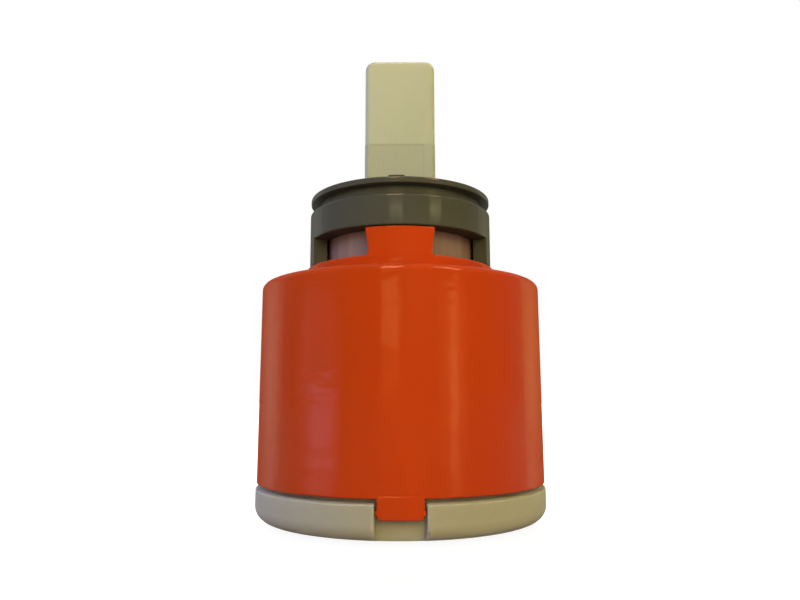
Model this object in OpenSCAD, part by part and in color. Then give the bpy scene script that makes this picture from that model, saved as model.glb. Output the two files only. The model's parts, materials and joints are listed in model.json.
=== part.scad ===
// Single-lever mixer cartridge, 40 mm size, with ceramic discs.
// Z is up and the axis of the cartridge is Z. The three port seals stand on z = 0.
// The stop tab, the locking tongue and the outlet port are on the -Y side.

/* [Base] */
// Diameter of the flange of the base
base_d = 40; // [38:0.5:44]
// Height of the flange of the base
base_h = 4.25; // [3.5:0.25:6]
// Radius of the flange's lower edge
base_round = 2; // [0.5:0.25:2.5]
// Height of the disc seat above the flange
seat_h = 2.55; // [2.25:0.15:4.5]
// Height of the rim that holds the fixed disc, above the disc seat
rim_h = 3.4; // [2:0.2:3.6]
// Wall of that rim
rim_wall = 1.6; // [1.2:0.1:2]
// Height of the open gap between the flange and the housing
base_gap = 0.6; // [0.3:0.1:1]

/* [Ports and seals] */
// Diameter of the three water ports
port_d = 7.5; // [6:0.25:8]
// Distance of the two inlets from the axis
inlet_reach = 8.4; // [8.2:0.1:9]
// Angle of the inlets from the X axis towards the back
inlet_angle = 35; // [30:1:40]
// Distance of the outlet from the axis
outlet_reach = 8; // [7.6:0.2:9]
// Radial width of a port seal
port_seal_w = 1.6; // [1.2:0.1:1.8]
// Height of a port seal
port_seal_h = 2.2; // [1.6:0.1:3]
// How far a port seal stands below the base
port_seal_proud = 0.4; // [0.2:0.1:0.8]
// Radial width of a disc seal
disc_seal_w = 1.3; // [1:0.1:1.7]
// Height of a disc seal
disc_seal_h = 1.4; // [1:0.1:2]
// How far a disc seal stands above the disc seat
disc_seal_proud = 0.4; // [0.2:0.1:0.6]

/* [Housing] */
// How far the housing's lower edge stands inside the edge of the base
shell_step = 0.15; // [0:0.05:0.5]
// How much the radius shrinks from the lower edge to the shoulder
shell_draft = 0.3; // [0:0.05:0.5]
// Wall of the housing at its lower edge
shell_wall = 1.55; // [1.3:0.05:2]
// Height of the housing from its lower edge to the shoulder
shell_h = 27.25; // [26.8:0.25:32]
// Thickness of the shoulder plate
shell_top = 1.8; // [1.2:0.1:2.4]
// Radius of the shoulder's outer edge
shoulder_round = 1; // [0.4:0.1:1.2]
// How far the raised ring round the neck stands out beyond the collar
boss_step = 0.45; // [0.2:0.05:1]
// Height of the raised ring above the shoulder
boss_h = 2.3; // [2:0.1:3.5]
// Angle that the stop tab covers at its top
tab_arc = 40; // [34:1:44]
// How much narrower the stop tab is at its foot, on each side
tab_flare = 0.5; // [0:0.05:0.8]
// Height of the stop tab above the raised ring
tab_h = 3.85; // [3:0.05:6]
// Width of a locking tongue
tongue_w = 5.4; // [4:0.1:8]
// How far a locking tongue hangs below the housing
tongue_h = 2.35; // [1.6:0.05:3]
// How far the round bumps on a tongue's flanks stand out
bump_out = 0.2; // [0.05:0.05:0.3]
// Height of the snap lugs
snap_h = 1.2; // [0.8:0.1:1.4]
// How far the snap lugs stand out of the base's rim
snap_out = 0.35; // [0.2:0.05:0.45]

/* [Discs] */
// Thickness of the fixed ceramic disc
fixed_t = 4; // [3.5:0.25:5]
// How far the sliding disc's edge stands inside the fixed disc's edge, at half flow
disc_margin = 2.4; // [2:0.1:2.8]
// Thickness of the sliding ceramic disc
sliding_t = 4; // [3:0.25:4.5]
// Width of the kidney-shaped inlets in the fixed disc
kidney_w = 3.2; // [2.4:0.2:3.4]
// Angle that a kidney-shaped inlet covers between the centres of its ends
kidney_arc = 20; // [10:1:22]
// How far the mixing chamber's edge laps the inlets' edge when the flow is shut
shut_lap = 0.3; // [0.2:0.05:0.6]
// Angle that the outlet side of the mixing chamber covers
outlet_arc = 96; // [80:2:100]
// Film of grease between surfaces that slide
film = 0.05; // [0.02:0.01:0.1]

/* [Carrier] */
// Thickness of the carrier's plate
carrier_plate_t = 2; // [1.8:0.1:3]
// Width of the carrier's guide block
block_w = 12; // [10:0.5:13]
// Thickness of the floor under the lever's ball
socket_floor = 1.45; // [1:0.05:1.9]
// Width of a driving lug between the carrier and the sliding disc
lug_w = 4; // [3:0.25:6]
// Depth of a driving lug from the edge of the disc
lug_depth = 1.6; // [1:0.1:1.8]
// Height of a driving lug
lug_h = 2.4; // [1.5:0.1:2.8]
// Thickness of the chamber seal's cord
chamber_seal_d = 1.1; // [0.9:0.1:1.2]

/* [Turret] */
// Wall of the neck at the corners of the lever's slot
neck_wall = 1.1; // [0.9:0.1:1.6]
// Gap between the flange under the neck and the wall of the housing
flange_gap = 0.6; // [0.3:0.1:1.5]
// Thickness of that flange
turret_flange_t = 1.4; // [1:0.1:2]
// How far the hub that carries the lever's pin stands out beyond the neck
hub_step = 1.7; // [1:0.1:2.4]
// Height of that hub below the flange
hub_h = 3.9; // [3.4:0.1:4.8]
// Thickness of a guide rail
rail_t = 2.4; // [1.5:0.1:3.5]
// Length of a guide rail
rail_l = 14; // [10:0.5:16]
// Number of splines on the neck
splines = 36; // [18:2:48]
// Depth of the splines
spline_h = 0.35; // [0.2:0.05:0.45]
// Thickness of the slip washer under the shoulder
washer_t = 0.4; // [0.2:0.1:0.8]
// Thickness of the neck seal's cord
neck_seal_d = 1.3; // [1:0.1:1.6]

/* [Collar] */
// Thickness of the collar's band round the neck
collar_wall = 2.55; // [2.3:0.05:3]
// Height of the collar's band
band_h = 4.15; // [3:0.05:6]
// Height of the groove above the band
groove_h = 1.6; // [0.8:0.1:3]
// Depth of the groove
groove_depth = 1.35; // [0.6:0.05:1.6]
// Thickness of the lip above the groove
lip_t = 0.6; // [0.4:0.1:1.2]
// How far the lip stands inside the edge of the band
lip_step = 0.05; // [0:0.05:0.5]
// How much lower the lip's underside is at the groove than at its edge
lip_slope = 0.2; // [0:0.05:0.5]
// Thickness of a leg
leg_t = 1.95; // [1.2:0.05:2.05]
// Angle from the stop tab's middle to the nearer edge of a leg
leg_from = 67; // [60:1:75]
// Width of the index mark on the lip
index_w = 2.3; // [1.5:0.1:4]
// Length of the index mark towards the axis
index_l = 1.4; // [0.8:0.1:1.4]
// Height of the index mark
index_h = 0.35; // [0.2:0.05:0.8]

/* [Lever] */
// Width of the stem
stem_w = 10.2; // [8:0.1:10.4]
// Thickness of the stem, front to back
stem_t = 7.6; // [6:0.1:7.8]
// Height of the stem above the collar
stem_h = 20.75; // [14:0.25:26]
// Radius of the stem's top corners
stem_corner = 1.2; // [0.4:0.1:2]
// Radius of the stem's upright edges
stem_edge = 0.7; // [0.3:0.1:1.5]
// How much narrower the stem is above its step, on each side
stem_ledge = 0.05; // [0.05:0.05:0.4]
// Height of that step above the collar
stem_step = 8.05; // [5:0.25:12]
// Depth of the recess in the faces below the step
stem_recess = 0.15; // [0.05:0.05:0.3]
// Width of the stem's edge beside that recess
recess_edge = 0.9; // [0.8:0.1:2]
// Diameter of the lever's pin
pin_d = 2.5; // [2:0.1:3]
// Diameter of the ball at the lever's foot
ball_d = 5.4; // [4.6:0.1:6]
// How far the lever tilts to each side of upright, in degrees
tilt = 12.5; // [8:0.5:13]

/* [Clearances] */
// Gap of a part that turns or slides in another
run_gap = 0.1; // [0.05:0.01:0.2]
// Gap round a part that is only placed in another
fit_gap = 0.15; // [0.05:0.01:0.25]

/* [Hidden] */
$fn = 96;
hair = 0.01;                    // reach of a cut past the face that it opens
overlap = 0.5;                  // how far a form reaches into the one that it joins
past = 1;                       // reach of a tool past the part that it cuts or trims
bevel = 0.25;                   // small bevel on moulded edges
fillet = 0.3;                   // round at the foot and at the top of the raised ring
snap_rise = 1.3;                // from the disc seat to the lower face of the snap lugs
snap_arc = 34;                  // degrees that one snap lug covers
snap_turn = 45;                 // degrees from the tongues to the first snap lug
tongue_corner = 0.5;            // radius of a tongue's lower corners
bump_r = 0.35;                  // radius of the bumps on its flanks
bump_share = 0.35;              // height of their middle, per height of the tongue
notch_taper = 0.1;              // how much narrower a notch is inside, on each side
tab_clear = 0.15;               // how far the flanks' curve stands off the tab at its top
kidney_shift = 0.8;             // how far the inlets' arc lies outside the ports' centres
outlet_lobe = 3;                // reach of the mixing chamber beyond the outlet's centre
outlet_hole_step = 0.6;         // how much smaller the disc's outlet is than the port, in radius
seal_lap = 0.5;                 // how far the chamber seal's cord laps the chamber's edge
key_w = 4;                      // width of the keys between base and fixed disc
key_depth = 1.4;                // depth of those keys
socket_share = 0.8;             // depth of the ball in its socket above its middle, per ball radius
block_corner = 1;               // radius of the guide block's upright edges
socket_corner = 0.8;            // radius of the socket's upright edges
pin_cover = 0.3;                // from the turret's flange to the pin's bore
pin_short = 0.5;                // how far each end of the pin lies inside the hub
washer_play = 0.5;              // gap of the slip washer round the neck's bore
cord_gap = 0.03;                // gap of the neck seal in its groove
spline_relief = 0.05;           // how far the splines lie inside the neck below them
spline_start = 0.15;            // start of a spline's first flank, per pitch
spline_part = 0.24;             // width of each flank and of the crest, per pitch
waist_share = 0.56;             // radius of the lever's foot where it meets the ball, per ball radius
foot_share = 0.45;              // radius of the lever's foot at the pin, per thickness of the stem
recess_sink = 2;                // how far the stem's recess runs down into the neck
index_in = 0.3;                 // from the lip's edge to the index mark

base_r = base_d / 2;
flange_z = port_seal_proud + base_h;
seat_z = flange_z + seat_h;
rim_z = seat_z + rim_h;
port_r = port_d / 2;

shell_r = base_r - shell_step;
shell_top_r = shell_r - shell_draft;
bore_r = shell_r - shell_wall;
spigot_r = bore_r - fit_gap;
shell_z = flange_z + base_gap;
shoulder_z = shell_z + shell_h;
under_top_z = shoulder_z - shell_top;
boss_z = shoulder_z + boss_h;
tab_z = boss_z + tab_h;
snap_z = seat_z + snap_rise;

fixed_r = spigot_r - rim_wall - fit_gap;
fixed_z = seat_z + disc_seal_proud;
sliding_r = fixed_r - disc_margin;
sliding_z = fixed_z + fixed_t + film;
carrier_z = sliding_z + sliding_t;
carrier_top_z = carrier_z + carrier_plate_t;
kidney_r = inlet_reach + kidney_shift;
chamber_r = kidney_r - kidney_w / 2 - shut_lap;
outlet_lobe_r = outlet_reach + outlet_lobe;
chamber_seal_r = outlet_lobe_r + chamber_seal_d / 2 - seal_lap;

washer_z = under_top_z - washer_t;
turret_top_z = washer_z - film;
turret_flange_z = turret_top_z - turret_flange_t;
hub_z = turret_flange_z - hub_h;
pin_z = turret_flange_z - pin_d / 2 - pin_cover;
ball_r = ball_d / 2;
ball_z = carrier_z + socket_floor + run_gap + ball_r;
block_z = ball_z + ball_r * socket_share;
arm = pin_z - ball_z;
travel = arm * sin(tilt);
rail_z = carrier_top_z + fit_gap;
rail_x = block_w / 2 + run_gap;

leg_z = boss_z + fit_gap;
band_z = tab_z + fit_gap;
groove_z = band_z + band_h;
lip_z = groove_z + groove_h;
collar_z = lip_z + lip_t;
neck_z = collar_z - bevel;
stem_z = collar_z + stem_h;
neck_seal_z = (under_top_z + boss_z) / 2;

slot_foot_half = stem_t / 2 / cos(tilt) + fit_gap;
slot_top_half = slot_foot_half + (neck_z - pin_z) * tan(tilt);
slot_side = stem_w / 2 + run_gap;
neck_r = norm([slot_side, slot_top_half]) + neck_wall;
neck_bore_r = neck_r + run_gap;
spline_r = neck_r - spline_relief;
hub_r = neck_r + hub_step;
turret_flange_r = bore_r - flange_gap;
collar_r = neck_r + collar_wall;
lip_r = collar_r - lip_step;
leg_bore_r = collar_r - leg_t;
boss_r = collar_r + boss_step;
tab_in_r = leg_bore_r;
tab_out_r = collar_r - run_gap;

housing_color = "orangered";
collar_color = "dimgray";
base_color = "antiquewhite";
nylon_color = "lightgoldenrodyellow";
ceramic_color = "whitesmoke";
rubber_color = "#2b2b2b";
steel_color = "silver";

// Points of an arc about (x, y) from angle a to angle b.
function arc(x, y, r, a, b, steps = 10) =
    [for (i = [0:steps]) let (t = a + (b - a) * i / steps) [x + r * cos(t), y + r * sin(t)]];

// The same arc without its two end points.
function open_arc(x, y, r, a, b, steps = 10) =
    [for (i = [1:steps - 1]) let (t = a + (b - a) * i / steps) [x + r * cos(t), y + r * sin(t)]];

// Places of the ports: hot inlet, cold inlet and outlet.
function inlet_at(side) = [side * inlet_reach * cos(inlet_angle), inlet_reach * sin(inlet_angle)];
hot_at = inlet_at(-1);
cold_at = inlet_at(1);
outlet_at = [0, -outlet_reach];

// Outline of a splined shaft whose surface is moved out by gap.
function spline_points(gap) = [
    for (i = [0:splines - 1], k = [0:3])
        let (pitch = 360 / splines, r = spline_r + gap - (k == 0 || k == 3 ? spline_h : 0))
        let (turn = (i + spline_start + spline_part * k) * pitch)
        [r * cos(turn), r * sin(turn)]];

module rounded_rectangle(w, l, r) {
    x = w / 2 - r;
    y = l / 2 - r;
    polygon(concat(arc(x, y, r, 0, 90, 6), arc(-x, y, r, 90, 180, 6),
        arc(-x, -y, r, 180, 270, 6), arc(x, -y, r, 270, 360, 6)));
}

// A ring of height h between two radii.
module ring(outer, inner, h) {
    difference() {
        cylinder(r = outer, h = h);
        translate([0, 0, -hair]) cylinder(r = inner, h = h + 2 * hair);
    }
}

// A piece of a ring, centred on the angle mid, that covers span degrees.
module ring_piece(outer, inner, h, mid, span) {
    rotate([0, 0, mid - span / 2])
        rotate_extrude(angle = span)
            translate([inner, 0]) square([outer - inner, h]);
}

// A slab that runs along X, from a drawing of Y and Z.
module along_x(w) {
    rotate([90, 0, 90]) translate([0, 0, -w / 2]) linear_extrude(height = w) children();
}

// A slab that runs along Y, from a drawing of X and Z.
module along_y(l) {
    rotate([90, 0, 0]) translate([0, 0, -l / 2]) linear_extrude(height = l) children();
}

// The flange, seen from the side of the axis, with its lower edge rounded.
module flange_profile() {
    z = port_seal_proud;
    polygon(concat([[0, z]], arc(base_r - base_round, z + base_round, base_round, -90, 0, 12),
        [[base_r, flange_z - bevel], [base_r - bevel, flange_z], [0, flange_z]]));
}

// One notch through the flange for a locking tongue, a little wider outside than inside.
module tongue_notch() {
    inner_half = tongue_w / 2 + bump_out + run_gap;
    outer_half = inner_half + notch_taper;
    difference() {
        translate([0, 0, -hair]) linear_extrude(height = flange_z + 2 * hair)
            polygon([[-outer_half, -base_r - past], [outer_half, -base_r - past],
                [inner_half, past - spigot_r], [-inner_half, past - spigot_r]]);
        translate([0, 0, -past]) cylinder(r = spigot_r, h = flange_z + 2 * past);
    }
}

// The four lugs on the base's rim, larger by grow where they are cut out of the housing.
module snap_lugs(grow, h, z) {
    for (turn = [snap_turn:90:359])
        translate([0, 0, z])
            ring_piece(spigot_r + snap_out + grow, spigot_r - overlap, h, turn, snap_arc + 2 * grow);
}

// Two blocks that reach inwards from the radius r by depth, on the two sides.
module keys(r, w, depth, h) {
    for (side = [-1, 1])
        translate([side * (r + (past - depth) / 2), 0, h / 2]) cube([depth + past, w, h], center = true);
}

// The three ports with the seats of their seals below and above.
module port_holes() {
    for (at = [hot_at, cold_at, outlet_at])
        translate([at.x, at.y, 0]) {
            translate([0, 0, -hair]) cylinder(r = port_r, h = seat_z + 2 * hair);
            cylinder(r = port_r + port_seal_w + run_gap, h = port_seal_h);
            translate([0, 0, seat_z + disc_seal_proud - disc_seal_h])
                cylinder(r = port_r + disc_seal_w + run_gap, h = disc_seal_h);
        }
}

module base() {
    color(base_color) {
        difference() {
            union() {
                rotate_extrude() flange_profile();
                translate([0, 0, flange_z - hair]) cylinder(r = spigot_r, h = seat_h + hair);
                translate([0, 0, seat_z - hair]) ring(spigot_r, fixed_r + fit_gap, rim_h + hair);
                snap_lugs(0, snap_h, snap_z);
            }
            port_holes();
            for (turn = [0, 180]) rotate([0, 0, turn]) tongue_notch();
        }
        intersection() {
            translate([0, 0, seat_z - hair])
                keys(fixed_r + fit_gap, key_w - fit_gap, key_depth - fit_gap, rim_h + hair);
            cylinder(r = spigot_r - hair, h = rim_z);
        }
    }
}

module port_seal(at) {
    color(rubber_color)
        translate([at.x, at.y, 0]) ring(port_r + port_seal_w, port_r, port_seal_h);
}

module disc_seal(at) {
    color(rubber_color)
        translate([at.x, at.y, seat_z + disc_seal_proud - disc_seal_h])
            ring(port_r + disc_seal_w, port_r, disc_seal_h);
}

// A kidney-shaped hole round the axis, through a disc of thickness t.
module kidney(mid, t) {
    r = kidney_w / 2;
    a = mid - kidney_arc / 2;
    b = mid + kidney_arc / 2;
    linear_extrude(height = t)
        polygon(concat(arc(0, 0, kidney_r + r, a, b, 4),
            open_arc(kidney_r * cos(b), kidney_r * sin(b), r, b, b + 180, 12),
            arc(0, 0, kidney_r - r, b, a, 4),
            open_arc(kidney_r * cos(a), kidney_r * sin(a), r, a + 180, a + 360, 12)));
}

module fixed_disc() {
    color(ceramic_color) translate([0, 0, fixed_z]) difference() {
        cylinder(r = fixed_r, h = fixed_t);
        translate([0, 0, -hair]) {
            kidney(inlet_angle, fixed_t + 2 * hair);
            kidney(180 - inlet_angle, fixed_t + 2 * hair);
            translate([0, -outlet_reach, 0])
                cylinder(r = port_r - outlet_hole_step, h = fixed_t + 2 * hair);
            keys(fixed_r + fit_gap, key_w + fit_gap, key_depth + fit_gap, fixed_t + 2 * hair);
        }
    }
}

// The chamber is round about the turret's axis when the flow is shut, so no turn opens an inlet.
module mixing_chamber(h) {
    translate([0, travel, 0]) {
        cylinder(r = chamber_r, h = h);
        ring_piece(outlet_lobe_r, chamber_r - overlap, h, -90, outlet_arc);
    }
}

module sliding_disc() {
    color(ceramic_color) translate([0, 0, sliding_z]) difference() {
        cylinder(r = sliding_r, h = sliding_t);
        translate([0, 0, -hair]) mixing_chamber(sliding_t + 2 * hair);
        translate([0, 0, sliding_t - lug_h - fit_gap])
            keys(sliding_r, lug_w + 2 * run_gap, lug_depth + run_gap, lug_h + fit_gap + hair);
    }
}

module chamber_seal() {
    r = chamber_seal_d / 2;
    color(rubber_color) translate([0, 0, carrier_z + r])
        rotate_extrude() translate([chamber_seal_r, 0]) circle(r = r - run_gap / 2);
}

module disc_carrier() {
    block_h = block_z - carrier_top_z;
    color(collar_color) difference() {
        union() {
            translate([0, 0, carrier_z]) cylinder(r = sliding_r, h = carrier_plate_t);
            translate([0, 0, carrier_top_z - hair])
                linear_extrude(height = block_h + hair)
                    rounded_rectangle(block_w, block_w, block_corner);
            intersection() {
                translate([0, 0, carrier_z - lug_h]) keys(sliding_r, lug_w, lug_depth, lug_h + hair);
                translate([0, 0, carrier_z - lug_h]) cylinder(r = sliding_r, h = lug_h + past);
            }
        }
        translate([0, 0, ball_z - ball_r - run_gap])
            linear_extrude(height = ball_d + past)
                rounded_rectangle(ball_d + 4 * run_gap, ball_d + 2 * run_gap, socket_corner);
        translate([0, 0, carrier_z - hair])
            ring(chamber_seal_r + chamber_seal_d / 2, chamber_seal_r - chamber_seal_d / 2,
                chamber_seal_d + hair);
    }
}

// Opening for the lever, whose end walls lie along the stem at the two ends of its travel.
module lever_slot() {
    foot = rail_z - past;
    half = slot_foot_half;
    mouth = slot_top_half + past * tan(tilt);
    along_x(2 * slot_side)
        polygon([[-half, foot], [half, foot], [half, pin_z], [mouth, neck_z + past],
            [-mouth, neck_z + past], [-half, pin_z]]);
}

module turret() {
    groove = neck_seal_d + 2 * run_gap;
    groove_r = neck_bore_r - neck_seal_d;
    color(nylon_color) difference() {
        union() {
            translate([0, 0, turret_top_z - overlap])
                cylinder(r = neck_r, h = band_z - turret_top_z + overlap);
            translate([0, 0, band_z - overlap]) linear_extrude(height = neck_z - band_z + overlap)
                polygon(spline_points(0));
            translate([0, 0, turret_flange_z]) cylinder(r = turret_flange_r, h = turret_flange_t);
            translate([0, 0, hub_z]) cylinder(r = hub_r, h = hub_h + overlap);
            for (side = [-1, 1])
                translate([side * (rail_x + rail_t / 2), 0, (rail_z + hub_z + overlap) / 2])
                    cube([rail_t, rail_l, hub_z + overlap - rail_z], center = true);
        }
        lever_slot();
        translate([0, 0, neck_seal_z - groove / 2]) ring(neck_r + past, groove_r, groove);
        translate([-hub_r - past, 0, pin_z]) rotate([0, 90, 0])
            cylinder(d = pin_d + 2 * hair, h = 2 * (hub_r + past));
    }
}

module neck_seal() {
    r = neck_seal_d / 2;
    color(rubber_color) translate([0, 0, neck_seal_z])
        rotate_extrude() translate([neck_bore_r - r, 0]) circle(r = r - cord_gap);
}

module slip_washer() {
    color(steel_color) translate([0, 0, washer_z])
        ring(turret_flange_r, neck_bore_r + washer_play, washer_t);
}

// Half of the section of the collar, through a leg, before the splined bore is cut.
module collar_profile() {
    groove_r = collar_r - groove_depth;
    polygon([[0, band_z], [leg_bore_r, band_z], [leg_bore_r, leg_z], [collar_r, leg_z],
        [collar_r, groove_z - bevel], [collar_r - bevel, groove_z],
        [groove_r, groove_z], [groove_r, lip_z - lip_slope],
        [lip_r - lip_t / 4, lip_z], [lip_r, lip_z + lip_t / 4],
        [lip_r, collar_z - lip_t / 3], [lip_r - lip_t / 3, collar_z], [0, collar_z]]);
}

module temperature_collar() {
    color(collar_color) difference() {
        union() {
            rotate_extrude() collar_profile();
            translate([0, -lip_r + index_in + index_l / 2, collar_z])
                cube([index_w, index_l, 2 * index_h], center = true);
        }
        for (side = [-90, 90])
            translate([0, 0, leg_z - past])
                ring_piece(collar_r + past, leg_bore_r - past, band_z - leg_z + past, side, 2 * leg_from);
        translate([0, 0, band_z - past]) linear_extrude(height = collar_z - band_z + 2 * past)
            polygon(spline_points(run_gap));
    }
}

// The stop tab between two faces that point at the axis, with hollow flanks down to its foot.
module stop_tab() {
    half = tab_out_r * sin(tab_arc / 2);
    foot = half - tab_flare;
    head = half + tab_clear;
    steps = 6;
    flank = [for (i = [0:steps]) let (up = i / steps)
        [foot + (head - foot) * up ^ 2, boss_z + tab_h * up]];
    intersection() {
        translate([0, 0, boss_z - overlap])
            ring_piece(tab_out_r, tab_in_r, tab_h + overlap, -90, tab_arc);
        translate([0, -collar_r, 0]) along_y(collar_r)
            polygon(concat([[-foot, boss_z - past], [foot, boss_z - past]], flank,
                [[head, tab_z + past], [-head, tab_z + past]],
                [for (i = [steps:-1:0]) [-flank[i].x, flank[i].y]]));
    }
}

// A locking tongue on the lower edge of the housing, with rounded lower corners and a bump on each flank.
module locking_tongue() {
    half = tongue_w / 2;
    corner = tongue_corner;
    foot = shell_z - tongue_h;
    intersection() {
        translate([0, 0, foot - hair]) ring(shell_r, bore_r, tongue_h + overlap);
        translate([0, -shell_r, 0]) along_y(2 * (shell_wall + past)) {
            polygon(concat([[half, shell_z + past], [-half, shell_z + past]],
                arc(-half + corner, foot + corner, corner, 180, 270, 5),
                arc(half - corner, foot + corner, corner, 270, 360, 5)));
            for (side = [-1, 1])
                translate([side * (half + bump_out - bump_r), foot + tongue_h * bump_share])
                    circle(r = bump_r, $fn = 24);
        }
    }
}

module housing() {
    color(housing_color) {
        difference() {
            union() {
                rotate_extrude() polygon(concat(
                    [[bore_r, shell_z], [shell_r - bevel / 2, shell_z], [shell_r, shell_z + bevel / 2]],
                    arc(shell_top_r - shoulder_round, shoulder_z - shoulder_round, shoulder_round, 0, 90),
                    arc(boss_r + fillet, shoulder_z + fillet, fillet, 270, 180, 4),
                    arc(boss_r - fillet, boss_z - fillet, fillet, 0, 90, 4),
                    [[neck_bore_r, boss_z], [neck_bore_r, under_top_z], [bore_r, under_top_z]]));
                stop_tab();
                for (turn = [0, 180]) rotate([0, 0, turn]) locking_tongue();
            }
            snap_lugs(fit_gap, snap_h + 2 * fit_gap, snap_z - fit_gap);
        }
    }
}

module lever() {
    step_z = collar_z + stem_step;
    recess_z = neck_z - recess_sink;
    top_w = stem_w - 2 * stem_ledge;
    color(nylon_color) difference() {
        union() {
            translate([0, 0, pin_z]) linear_extrude(height = step_z - pin_z)
                rounded_rectangle(stem_w, stem_t, stem_edge);
            intersection() {
                translate([0, 0, step_z - hair]) linear_extrude(height = stem_z - step_z + hair)
                    rounded_rectangle(top_w, stem_t, stem_edge);
                along_y(stem_t + past) polygon(concat([[-top_w, step_z - past], [top_w, step_z - past]],
                    [[top_w, stem_z - 2 * stem_corner], [top_w / 2, stem_z - 2 * stem_corner]],
                    arc(top_w / 2 - stem_corner, stem_z - stem_corner, stem_corner, 0, 90, 8),
                    arc(-top_w / 2 + stem_corner, stem_z - stem_corner, stem_corner, 90, 180, 8),
                    [[-top_w / 2, stem_z - 2 * stem_corner], [-top_w, stem_z - 2 * stem_corner]]));
            }
            translate([-stem_w / 2, 0, pin_z]) rotate([0, 90, 0]) cylinder(d = stem_t, h = stem_w);
            translate([0, 0, ball_z])
                cylinder(r1 = ball_r * waist_share, r2 = stem_t * foot_share, h = arm);
            translate([0, 0, ball_z]) sphere(r = ball_r);
        }
        for (side = [-1, 1])
            translate([0, side * stem_t / 2, (recess_z + step_z) / 2])
                cube([stem_w - 2 * recess_edge, 2 * stem_recess, step_z - recess_z], center = true);
        translate([-stem_w, 0, pin_z]) rotate([0, 90, 0])
            cylinder(d = pin_d + run_gap, h = 2 * stem_w);
    }
}

module lever_pin() {
    length = 2 * (hub_r - pin_short);
    color(steel_color) translate([-length / 2, 0, pin_z]) rotate([0, 90, 0])
        cylinder(d = pin_d, h = length);
}

housing();
base();
port_seal(hot_at);  // port_seal_hot
port_seal(cold_at);  // port_seal_cold
port_seal(outlet_at);  // port_seal_outlet
disc_seal(hot_at);  // disc_seal_hot
disc_seal(cold_at);  // disc_seal_cold
disc_seal(outlet_at);  // disc_seal_outlet
fixed_disc();
sliding_disc();
chamber_seal();
disc_carrier();
slip_washer();
turret();
neck_seal();
temperature_collar();
lever();
lever_pin();
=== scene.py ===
"""Looks of a ceramic-disc faucet cartridge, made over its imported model.

Lengths are in mm until a mesh is made. Angles round the axis are counted from the front, -Y, towards +X.
"""
import json
import math

import bmesh
import bpy
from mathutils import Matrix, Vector


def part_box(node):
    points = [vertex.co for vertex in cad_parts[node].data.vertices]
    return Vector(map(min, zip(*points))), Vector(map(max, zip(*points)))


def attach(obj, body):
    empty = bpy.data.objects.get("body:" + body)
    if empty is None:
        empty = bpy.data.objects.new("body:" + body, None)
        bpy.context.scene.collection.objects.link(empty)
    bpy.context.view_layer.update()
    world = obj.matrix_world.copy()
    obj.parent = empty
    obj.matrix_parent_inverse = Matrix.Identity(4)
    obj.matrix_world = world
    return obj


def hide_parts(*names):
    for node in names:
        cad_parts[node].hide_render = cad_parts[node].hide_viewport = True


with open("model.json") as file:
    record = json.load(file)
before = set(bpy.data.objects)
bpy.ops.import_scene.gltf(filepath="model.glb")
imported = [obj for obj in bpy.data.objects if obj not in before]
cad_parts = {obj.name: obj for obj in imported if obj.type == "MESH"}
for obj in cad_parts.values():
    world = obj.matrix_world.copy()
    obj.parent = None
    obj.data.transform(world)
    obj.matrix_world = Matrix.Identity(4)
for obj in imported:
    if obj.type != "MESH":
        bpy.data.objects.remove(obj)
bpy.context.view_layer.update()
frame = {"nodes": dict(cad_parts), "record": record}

MM = 0.001
FULL_TURN = 2 * math.pi
COLUMNS = 288                        # columns of points in a full turn
SHARP = math.radians(32)             # edges over this angle stay sharp


def low(node):
    """Height of a solid's underside."""
    return round(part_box(node)[0][2] / MM, 3)


def high(node):
    """Height of a solid's top."""
    return round(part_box(node)[1][2] / MM, 3)


def half_width(node):
    """How far a solid on the axis reaches to the side."""
    return round(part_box(node)[1][0] / MM, 3)


def half_depth(node):
    """How far a solid on the axis reaches to the back."""
    return round(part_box(node)[1][1] / MM, 3)


# Heights from the floor, in the frame of the solids
BASE_UNDERSIDE = low("base")
FLANGE_TOP = BASE_UNDERSIDE + 4.25
DISC_SEAT = FLANGE_TOP + 2.55
RIM_TOP = high("base")
PORT_SEAT_TOP = high("port_seal_hot")
DISC_SEAL_FLOOR = low("disc_seal_hot")
SHELL_FOOT = FLANGE_TOP + 0.6
SHELL_CEILING = high("slip_washer")
SHOULDER = SHELL_FOOT + 27.25
BOSS_TOP = SHOULDER + 2.3
TAB_TOP = high("housing")
LEG_FOOT = low("temperature_collar")
COLLAR_TOP = high("turret") + 0.25
LIP_TOP = COLLAR_TOP + 0.15
LIP_FOOT = COLLAR_TOP - 0.6
GROOVE_FOOT = LIP_FOOT - 1.6
BAND_FOOT = GROOVE_FOOT - 4.15
PIN_HEIGHT = (low("lever_pin") + high("lever_pin")) / 2
BALL_R = 2.7
BALL_HEIGHT = low("lever") + BALL_R
STEM_STEP = COLLAR_TOP + 8.05
STEM_TOP = high("lever")

# Radii
BASE_R = half_width("base")
SHELL_R = half_width("housing")
SHELL_TOP_R = SHELL_R - 0.11
BORE_R = SHELL_R - 1.55
SPIGOT_R = BORE_R - 0.15
FIXED_DISC_POCKET_R = SPIGOT_R - 1.6
COLLAR_R = 13.145
COLLAR_GROOVE_R = COLLAR_R - 1.35
LEG_BORE_R = COLLAR_R - 1.95
LIP_R = COLLAR_R - 0.065
BOSS_R = COLLAR_R + 0.45
NECK_R = COLLAR_R - 2.55
NECK_BORE_R = NECK_R + 0.1
SPLINE_BORE_R = NECK_R + 0.05
TAB_OUT_R = COLLAR_R - 0.1
TAB_IN_R = LEG_BORE_R

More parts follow.
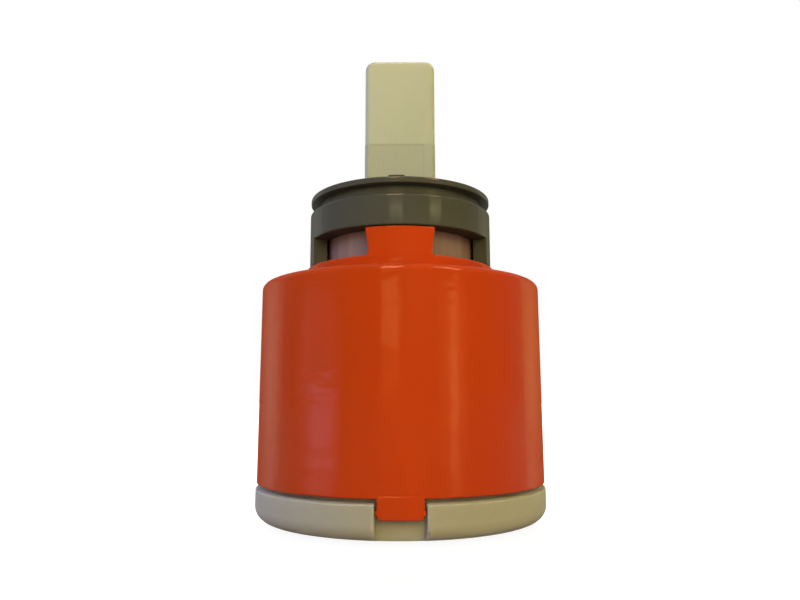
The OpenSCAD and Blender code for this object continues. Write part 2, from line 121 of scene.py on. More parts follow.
# Widths, angles and small forms
TONGUE_W = 5.4
TONGUE_HALF = math.asin(TONGUE_W / 2 / SHELL_R)
TONGUE_DROP = SHELL_FOOT - low("housing")
TAB_HALF = math.radians(20.6)
LEG_FROM = math.radians(67)
SPLINES = 36
SPLINE_HEIGHT = 0.35
MARK_HEIGHT = 0.22
MARK_TURN = 0.5 / LIP_R              # the index mark stands a little left of the middle
MARK_HALF = 1.08 / LIP_R
STEM_W = 2 * half_width("lever")
STEM_T = 2 * half_depth("lever")

# Ports
SEAL_PLAY = 0.1
PORT_R = 3.75
PORT_SEAT_R = half_width("port_seal_outlet") + SEAL_PLAY
DISC_SEAL_SEAT_R = half_width("disc_seal_outlet") + SEAL_PLAY
INLET_REACH = 8.4
INLET_ANGLE = math.radians(35)
INLET_X = INLET_REACH * math.cos(INLET_ANGLE)
INLET_Y = INLET_REACH * math.sin(INLET_ANGLE)
OUTLET_REACH = 8.0
PORTS = ((-INLET_X, INLET_Y), (INLET_X, INLET_Y), (0.0, -OUTLET_REACH))
CUT_PAST = 1.0                       # how far a plug reaches past what it cuts


# Meshes


def arc(r_mid, z_mid, radius, start, end, steps):
    """Points of an arc in a profile, from angle start to angle end in degrees."""
    points = []
    for i in range(steps + 1):
        t = math.radians(start + (end - start) * i / steps)
        points.append((r_mid + radius * math.cos(t), z_mid + radius * math.sin(t)))
    return points


def rounded(r, z, radius, start, end, steps):
    """A quarter round in place of the corner (r, z) of a profile, hollow where start is over end."""
    middle = math.radians((start + end) / 2)
    r_mid = r - math.copysign(radius, math.cos(middle))
    z_mid = z - math.copysign(radius, math.sin(middle))
    return arc(r_mid, z_mid, radius, start, end, steps)


def smooth(t):
    """Eases a value from 0 to 1, and holds it outside."""
    t = min(max(t, 0.0), 1.0)
    return t * t * (3 - 2 * t)


def shade_evenly(piece):
    """Smooth faces between sharp edges, shaded after the largest face at each point."""
    piece.data.shade_smooth()
    piece.data.set_sharp_from_angle(angle=SHARP)
    even = piece.modifiers.new("even_shading", "WEIGHTED_NORMAL")
    even.keep_sharp = True


def finished(name, mesh):
    """An object from a bmesh, evenly shaded."""
    bmesh.ops.remove_doubles(mesh, verts=mesh.verts, dist=1e-7)
    bmesh.ops.recalc_face_normals(mesh, faces=mesh.faces)
    data = bpy.data.meshes.new(name)
    mesh.to_mesh(data)
    mesh.free()
    piece = bpy.data.objects.new(name, data)
    bpy.context.scene.collection.objects.link(piece)
    shade_evenly(piece)
    return piece


def even_angles(count):
    return [FULL_TURN * i / count for i in range(count)]


def angles_with(breaks, extra=()):
    """Even angles round the axis and extra ones, with two close ones at each break, where a profile jumps."""
    gap = 0.002
    even = [a for a in even_angles(COLUMNS) if all(abs(a - b % FULL_TURN) > gap for b in breaks)]
    beside = [b % FULL_TURN + side * gap / 2 for b in breaks for side in (-1, 1)]
    return sorted({*even, *beside, *[a % FULL_TURN for a in extra]})


def front_and_back(half):
    """The angles that lie half to either side of the front and of the back."""
    return [side * half + turn for turn in (0, math.pi) for side in (-1, 1)]


def from_front(angle):
    """The angle from the nearest of the front and the back, so that both get the same notch or tongue."""
    half = angle % math.pi
    return min(half, math.pi - half)


def turned(mesh, profile_at, angles):
    """Adds a ring whose section at each angle is the closed profile that profile_at gives."""
    columns = []
    for angle in angles:
        across, out = math.sin(angle) * MM, -math.cos(angle) * MM
        columns.append([mesh.verts.new((r * across, r * out, z * MM)) for r, z in profile_at(angle)])
    for i, column in enumerate(columns):
        following = columns[(i + 1) % len(columns)]
        for j in range(len(column)):
            k = (j + 1) % len(column)
            mesh.faces.new((column[j], following[j], following[k], column[k]))
    return mesh


def spun(mesh, profile, count):
    """Adds a ring with the same section all round."""
    return turned(mesh, lambda angle: profile, even_angles(count))


def lofted(mesh, sections):
    """Adds a closed skin through loops of points, with a face over the first and the last loop."""
    loops = [[mesh.verts.new(Vector(p) * MM) for p in section] for section in sections]
    for lower, upper in zip(loops, loops[1:]):
        for j in range(len(lower)):
            k = (j + 1) % len(lower)
            mesh.faces.new((lower[j], lower[k], upper[k], upper[j]))
    mesh.faces.new(loops[0][::-1])
    mesh.faces.new(loops[-1])
    return mesh


# Materials


# Scales of the noises, in cycles per metre
CLOUDS = 90
WEAR = 260
WAVES = 380
DRAWN_MARKS = 900
SKIN = 1400
DUST = 1900

RELIEF = 0.0004                      # height of a bump of strength 1, in metres
DUST_COLOUR = (0.75, 0.62, 0.5)
# how much paler the painted sheen makes a colour
PAINTED_SHEEN = (1.15, 1.15, 1.13)
ASLANT_ROUGHNESS = 0.7
GLOW_SPREAD = (1.0, 0.85, 0.5)       # how far red, green and blue spread, per depth of the glow


def new_material(name):
    """A new material with its nodes, its links and its Principled shader."""
    material = bpy.data.materials.new(name)
    material.use_nodes = True
    nodes = material.node_tree.nodes
    return material, nodes, material.node_tree.links, nodes["Principled BSDF"]


def noise_at(nodes, links, scale, detail, stretch=(1, 1, 1), distortion=0.0):
    """The value of a noise in the object's own space, scale in cycles per metre."""
    place = nodes.new("ShaderNodeTexCoord")
    mapping = nodes.new("ShaderNodeMapping")
    mapping.inputs["Scale"].default_value = stretch
    noise = nodes.new("ShaderNodeTexNoise")
    noise.inputs["Scale"].default_value = scale
    noise.inputs["Detail"].default_value = detail
    noise.inputs["Distortion"].default_value = distortion
    links.new(place.outputs["Object"], mapping.inputs["Vector"])
    links.new(mapping.outputs["Vector"], noise.inputs["Vector"])
    return noise.outputs["Fac"]


def ramp(nodes, links, value, *stops):
    """A colour that follows a value between two stops, each a position and a colour."""
    node = nodes.new("ShaderNodeValToRGB")
    for element, (position, colour) in zip(node.color_ramp.elements, stops):
        element.position = position
        element.color = (*colour, 1)
    links.new(value, node.inputs["Fac"])
    return node.outputs["Color"]


def mapped(nodes, links, value, start, end, low_result=0.0, high_result=1.0):
    """A value between start and end, mapped on low_result to high_result and held outside."""
    node = nodes.new("ShaderNodeMapRange")
    node.inputs["From Min"].default_value = start
    node.inputs["From Max"].default_value = end
    node.inputs["To Min"].default_value = low_result
    node.inputs["To Max"].default_value = high_result
    links.new(value, node.inputs["Value"])
    return node.outputs["Result"]


def mixed(nodes, links, share, colour, other, blend="MIX"):
    """A colour mixed with a share of another one."""
    node = nodes.new("ShaderNodeMix")
    node.data_type = "RGBA"
    node.blend_type = blend
    node.inputs["B"].default_value = (*other, 1)
    links.new(share, node.inputs["Factor"])
    links.new(colour, node.inputs["A"])
    return node.outputs["Result"]


def bumped(nodes, links, height, strength, under=None):
    """A normal that follows a height, on top of the normal under it."""
    bump = nodes.new("ShaderNodeBump")
    bump.inputs["Strength"].default_value = strength
    bump.inputs["Distance"].default_value = RELIEF
    links.new(height, bump.inputs["Height"])
    if under:
        links.new(under, bump.inputs["Normal"])
    return bump.outputs["Normal"]


def paint_sheen_above(nodes, links, colour, z):
    """The colour, painted a little paler above a height in mm: a painted sheen for the light the part catches
    there.
    """
    place = nodes.new("ShaderNodeTexCoord")
    split = nodes.new("ShaderNodeSeparateXYZ")
    links.new(place.outputs["Object"], split.inputs["Vector"])
    above = mapped(nodes, links, split.outputs["Z"], (z - 0.2) * MM, (z + 0.1) * MM)
    return mixed(nodes, links, above, colour, PAINTED_SHEEN, "MULTIPLY")


def dusted(nodes, links, colour, share):
    """The colour with a share of dust on it, in fine specks."""
    specks = ramp(nodes, links, noise_at(nodes, links, DUST, 2), (0.77, grey(0)), (0.8, grey(share)))
    return mixed(nodes, links, specks, colour, DUST_COLOUR)


def dulled_aslant(nodes, links, roughness):
    """The roughness, raised where the surface is seen aslant."""
    aslant = nodes.new("ShaderNodeLayerWeight")
    blur = nodes.new("ShaderNodeMix")
    blur.inputs["B"].default_value = ASLANT_ROUGHNESS
    links.new(mapped(nodes, links, aslant.outputs["Facing"], 0.4, 0.85), blur.inputs["Factor"])
    links.new(roughness, blur.inputs["A"])
    return blur.outputs["Result"]


def shade(colour, factor):
    return tuple(c * factor for c in colour)


def grey(value):
    return (value, value, value)


def moulded(name, colour, roughness, specular, mottle, grain, streak=(1, 1, 1), glow=0.0, depth=0.0,
            ripple=0.0, specks=0.0, sheen_painted_above=0.0):
    """Moulded plastic: cloudy colour, uneven gloss that dulls where it is seen aslant, and a fine skin.

    mottle is how far the clouds change the colour, streak their stretch and grain the height of the skin.
    glow is the translucency, to a depth in mm, ripple the height of the faint waves that the mould left,
    specks the share of dust; above the height in mm given last, the colour is painted a little paler as a
    painted sheen.
    """
    material, nodes, links, shader = new_material(name)
    clouds = noise_at(nodes, links, CLOUDS, 4, streak, 0.4)
    surface = ramp(nodes, links, clouds, (0.3, shade(colour, 1 - mottle)), (0.7, shade(colour, 1 + mottle)))
    # painted sheen: the colour painted a little paler above a height
    if sheen_painted_above:
        surface = paint_sheen_above(nodes, links, surface, sheen_painted_above)
    if specks:
        surface = dusted(nodes, links, surface, specks)
    links.new(surface, shader.inputs["Base Color"])
    wear = noise_at(nodes, links, WEAR, 5, streak)
    worn = ramp(nodes, links, wear, (0.3, grey(roughness * 0.8)), (0.75, grey(roughness * 1.3)))
    links.new(dulled_aslant(nodes, links, worn), shader.inputs["Roughness"])
    waves = None
    if ripple:
        waves = bumped(nodes, links, noise_at(nodes, links, WAVES, 2, (0.5, 0.5, 1)), ripple)
    skin = bumped(nodes, links, noise_at(nodes, links, SKIN, 3), grain, waves)
    links.new(skin, shader.inputs["Normal"])
    shader.inputs["Specular IOR Level"].default_value = specular
    if glow:
        shader.inputs["Subsurface Weight"].default_value = glow
        shader.inputs["Subsurface Radius"].default_value = GLOW_SPREAD
        shader.inputs["Subsurface Scale"].default_value = depth * MM
    return material


def steel(name):
    """Drawn stainless steel with fine marks along it."""
    material, nodes, links, shader = new_material(name)
    shader.inputs["Metallic"].default_value = 1.0
    marks = noise_at(nodes, links, DRAWN_MARKS, 3, (0.05, 1, 1))
    tint = ramp(nodes, links, marks, (0.3, grey(0.5)), (0.7, (0.62, 0.62, 0.61)))
    links.new(tint, shader.inputs["Base Color"])
    gloss = ramp(nodes, links, marks, (0.3, grey(0.25)), (0.7, grey(0.4)))
    links.new(gloss, shader.inputs["Roughness"])
    return material


PLASTICS = {
    "orange_acetal": dict(
        colour=(0.465, 0.0425, 0.001), roughness=0.09, specular=0.045,
        mottle=0.05, grain=0.03, streak=(1, 1, 0.25), ripple=0.3, specks=0.1),
    "offwhite_acetal": dict(
        colour=(0.366, 0.35, 0.263), roughness=0.38, specular=0.07,
        mottle=0.08, grain=0.05, streak=(0.3, 0.3, 1), glow=0.6, depth=2.5, specks=0.3),
    "grey_acetal": dict(
        colour=(0.064, 0.063, 0.043), roughness=0.1, specular=0.06,
        mottle=0.12, grain=0.004, specks=0.12),
    # This colour is painted darker than the pale nylon: painted shade for the collar's shadow over the neck
    # and for the dark inside showing through it.
    "clear_nylon": dict(
        colour=(0.215, 0.137, 0.105), roughness=0.35, specular=0.12,
        mottle=0.22, grain=0.03, streak=(5, 5, 0.3)),
    "ivory_nylon": dict(
        colour=(0.365, 0.38, 0.265), roughness=0.34, specular=0.1,
        # the stem painted a little paler above its step, a painted sheen for the light it catches there
        mottle=0.1, grain=0.05, streak=(1, 1, 0.4), glow=0.25, depth=1.5, sheen_painted_above=STEM_STEP),
    "alumina": dict(
        colour=(0.78, 0.77, 0.74), roughness=0.3, specular=0.5, mottle=0.02, grain=0.02),
    "black_rubber": dict(
        colour=(0.02, 0.02, 0.02), roughness=0.6, specular=0.3, mottle=0.2, grain=0.3),
}
BY_SLOT = {slot: moulded(slot, **finish) for slot, finish in PLASTICS.items()}
BY_SLOT["stainless"] = steel("stainless")


def placed(piece, body, slot, *nodes):
    """Gives a piece its body and its finish, and hides the solids that it stands for."""
    piece.data.materials.append(BY_SLOT[slot])
    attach(piece, body)
    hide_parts(*nodes)


# Housing


def tongue_drop(angle):
    """How far the housing's lower edge hangs down at an angle, with the tongue's rounded corners."""
    corner = 0.5
    inside = (TONGUE_HALF - from_front(angle)) * SHELL_R
    if inside <= 0:
        return 0.0
    left = max(corner - inside, 0.0)
    return TONGUE_DROP - corner + math.sqrt(corner ** 2 - left ** 2)


def score_depth(angle):
    """Depth of the fine, uneven score over the front tongue, which fades towards the tongue's sides."""
    depth, fade, even, waves = 0.09, 0.25, 0.6, 150
    aside = min(angle, FULL_TURN - angle) / TONGUE_HALF
    if aside >= 1:
        return 0.0
    return depth * smooth((1 - aside) / fade) * (even + (1 - even) * math.sin(angle * waves))


def housing_profile(angle):
    """The shell's section, from its bore round its outside and back down the bore of the neck."""
    foot = SHELL_FOOT - tongue_drop(angle)
    score = score_depth(angle)
    edge, shoulder_round, boss_fillet, boss_round, bore_round = 0.15, 1, 0.35, 0.3, 0.2
    return [
        (BORE_R, foot + edge),
        (BORE_R + edge, foot),
        *rounded(SHELL_R, foot, edge, -90, 0, 3),
        (SHELL_R, SHELL_FOOT + edge * 1.5),
        (SHELL_R - score, SHELL_FOOT + edge * 2),
        (SHELL_R - score, SHELL_FOOT + edge * 2.6),
        (SHELL_R, SHELL_FOOT + edge * 4),
        *rounded(SHELL_TOP_R, SHOULDER, shoulder_round, 0, 90, 9),
        *rounded(BOSS_R, SHOULDER, boss_fillet, 270, 180, 4),
        *rounded(BOSS_R, BOSS_TOP, boss_round, 0, 90, 4),
        *rounded(NECK_BORE_R, BOSS_TOP, bore_round, 90, 180, 3),
        (NECK_BORE_R, SHELL_CEILING),
        (BORE_R, SHELL_CEILING),
    ]


def tab_section(z, half, r_out, r_in):
    """A loop round the stop tab at one height, with rounded upright edges."""
    edge, face_steps = 0.14, 16
    corner = [(half - edge + edge * math.sin(t), r_out - edge + edge * math.cos(t))
              for t in (math.radians(60), math.radians(30))]
    outline = [(edge - half, r_in), (half - edge, r_in), (half, r_in + edge), (half, r_out - edge)]
    outline += corner
    outline += [((half - edge) * (1 - 2 * i / face_steps), r_out) for i in range(face_steps + 1)]
    outline += [(-across, r) for across, r in corner[::-1]]
    outline += [(-half, r_out - edge), (-half, r_in + edge)]
    return [(r * math.sin(across / TAB_OUT_R), -r * math.cos(across / TAB_OUT_R), z) for across, r in outline]


def stop_tab(mesh):
    """The tab on the raised ring, with hollow flanks, flush with the ring at its foot, its top rounded."""
    top_half = TAB_HALF * TAB_OUT_R
    flare = 0.6                      # how much narrower it is at its foot, on each side
    curve_end = 1.06                 # the flanks are upright from a height of 1 over this
    fillet = sunk = 0.4
    edge = 0.16
    lean = BOSS_R + 0.02 - TAB_OUT_R
    upright = TAB_TOP - BOSS_TOP - edge
    rises = [-sunk, -sunk / 2, 0, 0.03, 0.08, 0.15, 0.25, 0.4, *[0.7 + 0.4 * i for i in range(7)], upright]
    sections = []
    for rise in rises:
        up = (rise + sunk) / (upright + sunk)
        low_part = min(max(fillet - rise, 0.0), fillet)
        half = top_half - flare * (1 - min(1, up * curve_end) ** 2)
        half += fillet - math.sqrt(fillet ** 2 - low_part ** 2)
        sections.append(tab_section(BOSS_TOP + rise, half, TAB_OUT_R + lean * (1 - up), TAB_IN_R))
    for t in map(math.radians, (20, 40, 60, 78)):
        shrink = edge * (1 - math.cos(t))
        z = TAB_TOP - edge + edge * math.sin(t)
        sections.append(tab_section(z, top_half - shrink, TAB_OUT_R - shrink, TAB_IN_R + shrink))
    return lofted(mesh, sections)


def tongue_bumps(mesh):
    """The small round bumps on the flanks of both tongues."""
    bump_r, stand_out = 0.35, 0.2
    reach = TONGUE_W / 2 + stand_out - bump_r
    z = SHELL_FOOT - TONGUE_DROP * 0.65
    rings = ((BORE_R + 0.15, bump_r), (SHELL_R - 0.27, bump_r),
             (SHELL_R - 0.2, bump_r - 0.03), (SHELL_R - 0.17, bump_r - 0.1))
    for way in (-1, 1):
        for side in (-1, 1):
            lofted(mesh, [[(side * reach + radius * math.cos(t), way * y, z + radius * math.sin(t))
                           for t in even_angles(20)] for y, radius in rings])
    return mesh


def make_housing():
    corners = [a for inside in (0.004, 0.012, 0.02) for a in front_and_back(TONGUE_HALF - inside)]
    shell = turned(bmesh.new(), housing_profile, angles_with(front_and_back(TONGUE_HALF), corners))
    tab = stop_tab(bmesh.new())
    bumps = tongue_bumps(bmesh.new())
    placed(finished("housing_shell", shell), "cartridge_body", "orange_acetal", "housing")
    placed(finished("housing_stop_tab", tab), "cartridge_body", "orange_acetal", "housing")
    placed(finished("housing_tongue_bumps", bumps), "cartridge_body", "orange_acetal", "housing")


# Base


def base_profile():
    """The base's section without its ports and notches."""
    rounding, edge = 2.0, 0.2
    return [
        (0, BASE_UNDERSIDE),
        *rounded(BASE_R, BASE_UNDERSIDE, rounding, -90, 0, 10),
        *rounded(BASE_R, FLANGE_TOP, edge, 0, 90, 3),
        (SPIGOT_R, FLANGE_TOP),
        (SPIGOT_R, RIM_TOP),
        (FIXED_DISC_POCKET_R, RIM_TOP),
        (FIXED_DISC_POCKET_R, DISC_SEAT),
        (0, DISC_SEAT),
    ]


def notch_plug(mesh, way):
    """A plug that cuts the notch of one tongue through the flange, its mouth a little wider and rounded."""
    inner, outer, mouth, hair = 2.8, 3.05, 0.12, 0.01
    floor_r = SPIGOT_R + hair
    wall_y = BASE_R * math.cos(math.asin(outer / BASE_R))
    right = [(outer + mouth * (1 - math.cos(t)), wall_y - mouth + mouth * math.sin(t))
             for t in map(math.radians, (0, 30, 60, 85))]
    right.append((outer + mouth, BASE_R + CUT_PAST))
    back = [(x, math.sqrt(floor_r ** 2 - x ** 2)) for x in [inner * i / 6 for i in range(-6, 7)]]
    outline = back + right + [(-x, y) for x, y in right[::-1]]
    heights = (BASE_UNDERSIDE - CUT_PAST, FLANGE_TOP + 0.03)
    lofted(mesh, [[(way * x, -way * y, z) for x, y in outline] for z in heights])


def port_plug(mesh, x, y):
    """A stepped plug that cuts one port with the seats of its two seals."""
    profile = [
        (0, BASE_UNDERSIDE - CUT_PAST),
        (PORT_SEAT_R, BASE_UNDERSIDE - CUT_PAST),
        (PORT_SEAT_R, PORT_SEAT_TOP),
        (PORT_R, PORT_SEAT_TOP),
        (PORT_R, DISC_SEAL_FLOOR),
        (DISC_SEAL_SEAT_R, DISC_SEAL_FLOOR),
        (DISC_SEAL_SEAT_R, DISC_SEAT + CUT_PAST),
        (0, DISC_SEAT + CUT_PAST),
    ]
    before = set(mesh.verts)
    spun(mesh, profile, 64)
    bmesh.ops.translate(mesh, verts=[v for v in mesh.verts if v not in before], vec=(x * MM, y * MM, 0))


def cut(piece, plugs):
    """Takes the plugs' shape out of the piece, and removes the plugs."""
    modifier = piece.modifiers.new("openings", "BOOLEAN")
    modifier.object = plugs
    modifier.solver = "EXACT"
    whole = bpy.data.meshes.new_from_object(piece.evaluated_get(bpy.context.evaluated_depsgraph_get()))
    piece.modifiers.clear()
    piece.data = whole
    bpy.data.objects.remove(plugs)
    shade_evenly(piece)


def make_base():
    flange = finished("base_flange", spun(bmesh.new(), base_profile(), COLUMNS))
    plugs = bmesh.new()
    for x, y in PORTS:
        port_plug(plugs, x, y)
    for way in (-1, 1):
        notch_plug(plugs, way)
    cut(flange, finished("base_plugs", plugs))
    placed(flange, "cartridge_body", "offwhite_acetal", "base")


# Collar


def spline_r(angle):
    """Radius of the collar's splined bore at an angle."""
    flank = 0.25
    across = (angle * SPLINES / FULL_TURN + flank) % 1.0
    tooth = min(max((0.5 - abs(across - 0.5)) / flank - 0.5, 0.0), 1.0)
    return SPLINE_BORE_R - SPLINE_HEIGHT * tooth


def collar_profile(angle):
    """The collar's section, which changes at its two legs, its splines and the index mark on its lip."""
    in_leg = from_front(angle) > LEG_FROM
    foot = LEG_FOOT if in_leg else BAND_FOOT
    in_mark = abs(math.remainder(angle + MARK_TURN, FULL_TURN)) < MARK_HALF
    mark = MARK_HEIGHT if in_mark else 0.0
    mark_out, mark_in = LIP_R - 0.3, LIP_R - 1.6
    bore = spline_r(angle)
    edge, lip_edge, rounding = 0.12, 0.1, 0.3
    return [
        (bore, BAND_FOOT),
        (LEG_BORE_R, BAND_FOOT),
        (LEG_BORE_R, foot),
        (COLLAR_R - edge, foot),
        (COLLAR_R, foot + edge),
        *rounded(COLLAR_R, GROOVE_FOOT, rounding, 0, 90, 4),
        (COLLAR_GROOVE_R, GROOVE_FOOT),
        (COLLAR_GROOVE_R, LIP_FOOT - 2 * lip_edge),
        (LIP_R - 2 * lip_edge, LIP_FOOT - lip_edge),
        *arc(LIP_R - lip_edge, LIP_FOOT, lip_edge, -70, 0, 3),
        *rounded(LIP_R, LIP_TOP, rounding, 0, 90, 6),
        (mark_out - 0.005, LIP_TOP + mark * 0.96),
        (mark_out - 0.02, LIP_TOP + mark),
        (mark_in + 0.1, LIP_TOP + mark),
        (mark_in, LIP_TOP + mark * 0.8),
        (mark_in - 0.02, LIP_TOP),
        (mark_in - 0.3, COLLAR_TOP),
        (bore + lip_edge, COLLAR_TOP),
        (bore, COLLAR_TOP - lip_edge),
    ]


def make_collar():
    breaks = front_and_back(LEG_FROM) + [-MARK_TURN - MARK_HALF, -MARK_TURN + MARK_HALF]
    ring = turned(bmesh.new(), collar_profile, angles_with(breaks))
    placed(finished("collar_ring", ring), "turret_body", "grey_acetal", "temperature_collar")


# Lever


def stem_section(z, half_w, half_t, recess):
    """A loop round the stem at one height, its front and back faces sunk by recess inside their edges.

    The first half holds the back and the left side, and the second is the same half a turn on.
    """
    edge, slope = 0.7, 0.1
    left, right = half_w - 1.7, half_w - 0.8     # the sunk part lies off the middle, as in the photograph
    face = [half_w - edge, right + slope, right, right - slope, right * 0.7, right * 0.35, 0,
            -left * 0.35, -left * 0.7, slope - left, -left, -left - slope / 2, edge - half_w]
    sunk = [smooth((right + slope - x) / (2 * slope)) * smooth((left + slope + x) / (2 * slope)) * recess
            for x in face]
    loop = [(x, half_t - s) for x, s in zip(face, sunk)]
    loop += arc(edge - half_w, half_t - edge, edge, 105, 165, 4)
    loop += [(-half_w, (edge - half_t) * i / 3) for i in range(-3, 4)]
    loop += arc(edge - half_w, edge - half_t, edge, 195, 255, 4)
    return [(way * x, way * y, z) for way in (1, -1) for x, y in loop]


def stem(mesh):
    """The stem, with its step, its sunk faces, its rounded top, and its foot rounded about the pin."""
    ledge, recess, corner, top_edge = 0.02, 0.09, 1.2, 0.35
    wide, narrow, half_t = STEM_W / 2 + ledge, STEM_W / 2 - ledge, STEM_T / 2
    panel_foot = COLLAR_TOP - 2.2
    straight = STEM_TOP - corner - STEM_STEP
    rows = [(PIN_HEIGHT, wide, 0.0), (panel_foot, wide, 0.0), (panel_foot + 0.15, wide, recess),
            (STEM_STEP - 4, wide, recess), (STEM_STEP - 0.35, wide, recess),
            (STEM_STEP - 0.2, wide, recess * 0.8), (STEM_STEP - 0.06, wide, 0.0),
            (STEM_STEP, narrow, 0.0), (STEM_STEP + 0.15, narrow, 0.0)]
    rows += [(STEM_STEP + straight * i / 5, narrow, 0.0) for i in range(1, 6)]
    sections = [stem_section(PIN_HEIGHT - drop, wide, math.sqrt(half_t ** 2 - drop ** 2), 0.0)
                for drop in (3.6, 3.4, 3.0, 2.4, 1.6, 0.8)]
    sections += [stem_section(z, half_w, half_t, sunk) for z, half_w, sunk in rows]
    for t in map(math.radians, (15, 30, 45, 58, 70, 80, 87)):
        z = STEM_TOP - corner * (1 - math.sin(t))
        up = max(z - STEM_TOP + top_edge, 0.0)
        thinner = top_edge - math.sqrt(top_edge ** 2 - up ** 2)
        sections.append(stem_section(z, narrow - corner * (1 - math.cos(t)), half_t - thinner, 0.0))
    return lofted(mesh, sections)


def ball_foot(mesh):
    """The ball that drives the disc carrier, and the cone that joins it to the stem."""
    cone_r, cone_top = 2.9, PIN_HEIGHT - 2.3
    profile = [(0, BALL_HEIGHT - BALL_R), *arc(0, BALL_HEIGHT, BALL_R, -80, 55, 12),
               (cone_r, cone_top), (0, cone_top)]
    return spun(mesh, profile, 48)


def make_lever():
    placed(finished("lever_stem", stem(bmesh.new())), "lever_body", "ivory_nylon", "lever")
    placed(finished("lever_foot", ball_foot(bmesh.new())), "lever_body", "ivory_nylon", "lever")


# Solids


def dress_solids():
    """Gives every solid its finish, which shows on those that no piece replaces."""
    slots = {s["node"]: s["material_slot"] for s in frame["record"]["subparts"]}
    for name, piece in frame["nodes"].items():
        piece.data.materials.clear()
        piece.data.materials.append(BY_SLOT[slots[name]])


# Studio


def seen_rays(nodes, links):
    """1 for the rays that show the surroundings, to the camera or in metal and glass, and 0 for the rest."""
    path = nodes.new("ShaderNodeLightPath")
    seen = path.outputs["Is Camera Ray"]
    for kind in ("Is Glossy Ray", "Is Transmission Ray"):
        either = nodes.new("ShaderNodeMath")
        either.operation = "MAXIMUM"
        links.new(seen, either.inputs[0])
        links.new(path.outputs[kind], either.inputs[1])
        seen = either.outputs[0]
    return seen


def make_floor():
    """A floor that shows nearly white, and keeps the object's shadow."""
    size, glow = 3.0, 0.92
    mesh = bmesh.new()
    mesh.faces.new([mesh.verts.new((x * size, y * size, 0)) for x, y in ((-1, -1), (1, -1), (1, 1), (-1, 1))])
    floor = finished("floor", mesh)
    material, nodes, links, shader = new_material("pale_floor")
    shader.inputs["Base Color"].default_value = (0.13, 0.13, 0.13, 1)
    shader.inputs["Roughness"].default_value = 0.1
    shader.inputs["Specular IOR Level"].default_value = 0.5
    shader.inputs["Emission Color"].default_value = (1, 1, 1, 1)
    strength = mapped(nodes, links, seen_rays(nodes, links), 0, 1, 0.0, glow)
    links.new(strength, shader.inputs["Emission Strength"])
    floor.data.materials.append(material)


def make_world():
    """A world that shows white, and lights the object only faintly."""
    light = 0.2
    world = bpy.data.worlds.new("studio")
    bpy.context.scene.world = world
    world.use_nodes = True
    nodes, links = world.node_tree.nodes, world.node_tree.links
    background = nodes["Background"]
    background.inputs["Color"].default_value = (1, 1, 1, 1)
    strength = mapped(nodes, links, seen_rays(nodes, links), 0, 1, light, 1.0)
    links.new(strength, background.inputs["Strength"])


WHITE = (1.0, 1.0, 1.0)
WINDOW = (0.8, 0.76, 1.0)
TABLE = (0.66, 0.76, 1.35)
STRIP = (1.0, 0.62, 0.19)
GLINT = (1.0, 0.6, 0.3)
BEHIND = (1.1, 0.88, 0.6)

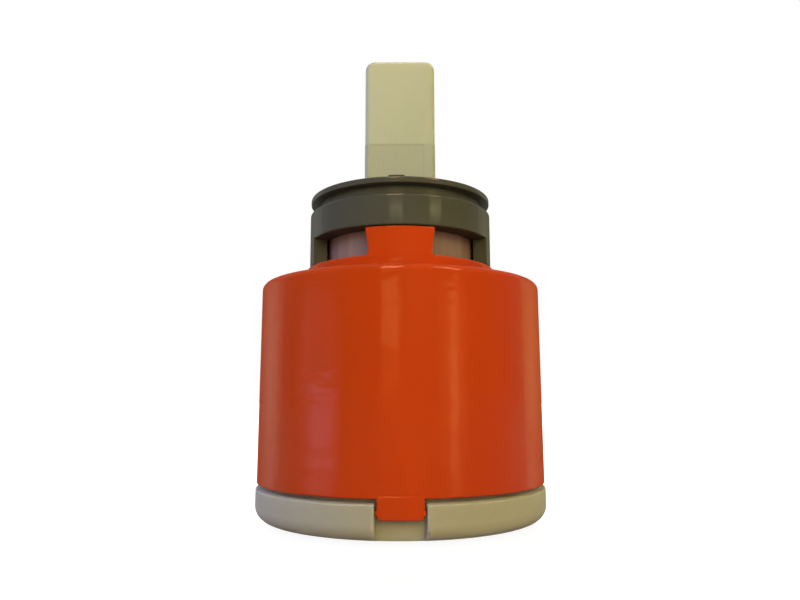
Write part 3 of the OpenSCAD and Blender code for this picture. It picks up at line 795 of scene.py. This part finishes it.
# Name, azimuth, elevation, distance, width, height, power, colour and use of each lamp. Its light and its
# gloss are apart, because the photograph's reflections are narrower than what lit the object.
LAMPS = (
    ("key_front", 9, 17, 0.2, 0.12, 0.1, 0.252, (1.0, 0.86, 0.42), "light"),
    ("low_left", -32, 3, 0.3, 0.2, 0.05, 0.04, (1.0, 0.7, 0.75), "light"),
    ("low_right", 32, 3, 0.3, 0.2, 0.05, 0.03, (1.0, 0.8, 0.4), "light"),
    ("overhead", 0, 80, 0.25, 0.18, 0.18, 0.055, WHITE, "both"),
    ("cool_left", -62, 30, 0.3, 0.16, 0.16, 0.26, (0.52, 0.82, 2.2), "light"),
    ("warm_right", 60, 30, 0.3, 0.16, 0.16, 0.19, (1.0, 0.84, 0.3), "light"),
    ("window_left", -65, 3.5, 0.6, 0.3, 0.13, 0.15, WINDOW, "gloss"),
    ("window_left_wide", -65, 3.5, 0.61, 0.44, 0.13, 0.2, WINDOW, "gloss"),
    ("table_left", -58.3, -7.6, 0.162, 0.045, 0.024, 0.011, TABLE, "gloss"),
    ("table_left_wide", -58.3, -7.8, 0.166, 0.08, 0.028, 0.018, TABLE, "gloss"),
    ("strip_front", -7, 6.2, 0.169, 0.0375, 0.02, 0.031, STRIP, "gloss"),
    ("strip_front_low", -7, -0.3, 0.169, 0.0375, 0.022, 0.011, STRIP, "gloss"),
    ("strip_right", 40.7, 3.7, 0.6, 0.075, 0.13, 0.35, STRIP, "gloss"),
    ("strip_right_low", 41.2, -1.8, 0.3, 0.036, 0.03, 0.015, STRIP, "gloss"),
    ("strip_right_wide", 40.5, 3.7, 0.61, 0.23, 0.13, 0.44, STRIP, "gloss"),
    ("cloud_front", -4.9, 16.8, 0.55, 0.135, 0.009, 0.08, (1.0, 0.9, 0.5), "gloss"),
    ("cloud_right", 43.4, 16.8, 0.55, 0.135, 0.009, 0.125, (1.0, 0.9, 0.45), "gloss"),
    ("glint_front", -9, 54.8, 0.263, 0.055, 0.16, 1.5, GLINT, "gloss"),
    ("glint_right", 50.3, 50.5, 0.261, 0.042, 0.13, 1.15, GLINT, "gloss"),
    ("rim_left", -126, 12, 0.4, 0.28, 0.25, 0.36, BEHIND, "light"),
    ("rim_right", 133, 12, 0.4, 0.28, 0.25, 0.31, (0.95, 0.8, 0.55), "light"),
    ("edge_left", -126, 3, 0.4, 0.28, 0.12, 0.17, BEHIND, "gloss"),
    ("edge_right", 133, 3, 0.4, 0.28, 0.12, 0.18, (1.0, 1.0, 0.08), "gloss"),
    ("fill_back", 180, 40, 0.8, 0.5, 0.5, 1.2, WHITE, "both"),
)
LAMP_AIM = Vector((0, 0, 30 * MM))


def softbox(name, azimuth, elevation, distance, width, height, power, colour, use):
    """A soft lamp that faces the cartridge, with its angles in degrees and its lengths in metres.

    It shows as light on the surfaces, as gloss in them, or as both.
    """
    lamp = bpy.data.lights.new(name, "AREA")
    lamp.shape = "RECTANGLE"
    lamp.size = width
    lamp.size_y = height
    lamp.energy = power
    lamp.color = colour
    holder = bpy.data.objects.new(name, lamp)
    bpy.context.scene.collection.objects.link(holder)
    a, e = math.radians(azimuth), math.radians(elevation)
    direction = Vector((math.sin(a) * math.cos(e), -math.cos(a) * math.cos(e), math.sin(e)))
    holder.location = LAMP_AIM + distance * direction
    holder.rotation_euler = (LAMP_AIM - holder.location).to_track_quat("-Z", "Y").to_euler()
    holder.visible_camera = False
    holder.visible_diffuse = use != "gloss"
    holder.visible_glossy = use != "light"


def make_camera():
    """The photograph's view, from close in front and a little below the middle."""
    camera = bpy.data.cameras.new("photo_camera")
    camera.sensor_width = 36
    camera.lens = 31.05
    camera.clip_start = 0.005
    camera.clip_end = 20
    holder = bpy.data.objects.new("photo_camera", camera)
    bpy.context.scene.collection.objects.link(holder)
    holder.location = (-0.06 * MM, -99.8 * MM, 16.38 * MM)
    holder.rotation_euler = (math.radians(98.21), math.radians(0.09), 0)
    bpy.context.scene.camera = holder


make_camera()
dress_solids()
make_housing()
make_base()
make_collar()
make_lever()
make_floor()
make_world()
for row in LAMPS:
    softbox(*row)
bpy.context.scene.view_settings.view_transform = "Standard"

bpy.context.view_layer.update()
